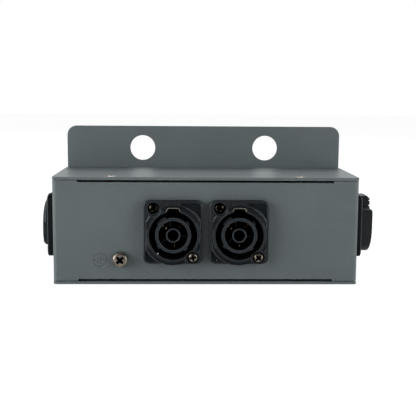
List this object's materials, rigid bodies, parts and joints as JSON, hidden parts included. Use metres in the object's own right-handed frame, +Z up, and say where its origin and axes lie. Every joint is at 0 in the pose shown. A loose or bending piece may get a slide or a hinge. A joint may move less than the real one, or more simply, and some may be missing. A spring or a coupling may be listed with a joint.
{
  "type": "power distribution box",
  "caption": "Small sheet-metal power splitter with locking outlets and a locking inlet, an earth terminal, and an upright rear plate with round hanging holes for clamps.",
  "frame": {"origin": "centre of the box's underside, midway between the side walls and between the front panel and the cover's rear wall", "axes": "+Z up, -Y out of the front panel, +X towards the inlet end"},
  "size_m": [0.1653, 0.0633, 0.0747],
  "materials": {
    "powder_coated_steel": "fine-textured satin powder coat",
    "black_nylon": "satin moulded nylon",
    "gasket_rubber": "matt",
    "gold_plated_contact": "bright gold plate",
    "nickel_plated_steel": "satin nickel plate",
    "zinc_plated_steel": "zinc plate",
    "line_wire": "brown wire cover",
    "neutral_wire": "blue wire cover",
    "earth_wire": "green and yellow wire cover"
  },
  "bodies": {
    "chassis": {"body_shell": "powder_coated_steel", "cover_screw_bottom_left": "nickel_plated_steel", "cover_screw_bottom_right": "nickel_plated_steel", "cover_screw_top_left": "nickel_plated_steel", "cover_screw_top_right": "nickel_plated_steel", "earth_harness": "earth_wire", "earth_lead_side": "earth_wire", "earth_lock_washer": "zinc_plated_steel", "earth_nut": "zinc_plated_steel", "hanging_plate": "powder_coated_steel", "inlet_earth_pin": "gold_plated_contact", "inlet_gasket": "gasket_rubber", "inlet_housing": "black_nylon", "inlet_latch_plate": "nickel_plated_steel", "inlet_line_pin": "gold_plated_contact", "inlet_neutral_pin": "gold_plated_contact", "inlet_pin_carrier": "black_nylon", "inlet_screw_lower": "nickel_plated_steel", "inlet_screw_upper": "nickel_plated_steel", "line_harness": "line_wire", "neutral_harness": "neutral_wire", "outlet_front_left_barrel": "black_nylon", "outlet_front_left_earth_contact": "gold_plated_contact", "outlet_front_left_gasket": "gasket_rubber", "outlet_front_left_housing": "black_nylon", "outlet_front_left_latch_plate": "nickel_plated_steel", "outlet_front_left_line_contact": "gold_plated_contact", "outlet_front_left_neutral_contact": "gold_plated_contact", "outlet_front_left_screw_lower": "nickel_plated_steel", "outlet_front_left_screw_upper": "nickel_plated_steel", "outlet_front_right_barrel": "black_nylon", "outlet_front_right_earth_contact": "gold_plated_contact", "outlet_front_right_gasket": "gasket_rubber", "outlet_front_right_housing": "black_nylon", "outlet_front_right_latch_plate": "nickel_plated_steel", "outlet_front_right_line_contact": "gold_plated_contact", "outlet_front_right_neutral_contact": "gold_plated_contact", "outlet_front_right_screw_lower": "nickel_plated_steel", "outlet_front_right_screw_upper": "nickel_plated_steel", "outlet_side_barrel": "black_nylon", "outlet_side_earth_contact": "gold_plated_contact", "outlet_side_gasket": "gasket_rubber", "outlet_side_housing": "black_nylon", "outlet_side_latch_plate": "nickel_plated_steel", "outlet_side_line_contact": "gold_plated_contact", "outlet_side_neutral_contact": "gold_plated_contact", "outlet_side_screw_lower": "nickel_plated_steel", "outlet_side_screw_upper": "nickel_plated_steel", "plate_screw_1": "nickel_plated_steel", "plate_screw_2": "nickel_plated_steel", "plate_screw_3": "nickel_plated_steel", "plate_screw_4": "nickel_plated_steel", "wrap_cover": "powder_coated_steel"},
    "earth_washer": {"earth_washer": "zinc_plated_steel"},
    "earth_screw": {"earth_screw": "nickel_plated_steel"}
  },
  "joints": [
    {"name": "earth_washer_slide", "type": "slide", "parent": "chassis", "child": "earth_washer", "axis": [0, -1, 0], "range_m": [0, 0.0035]},
    {"name": "earth_screw_turn", "type": "hinge", "parent": "earth_washer", "child": "earth_screw", "pos_m": [-0.0415, -0.02725, 0.0126], "axis": [0, -1, 0], "range_deg": [0, 1800]}
  ],
  "couplings": [
    {"joint": "earth_screw_turn", "follows": "earth_washer_slide", "rad_per_m": 8975.9}
  ]
}
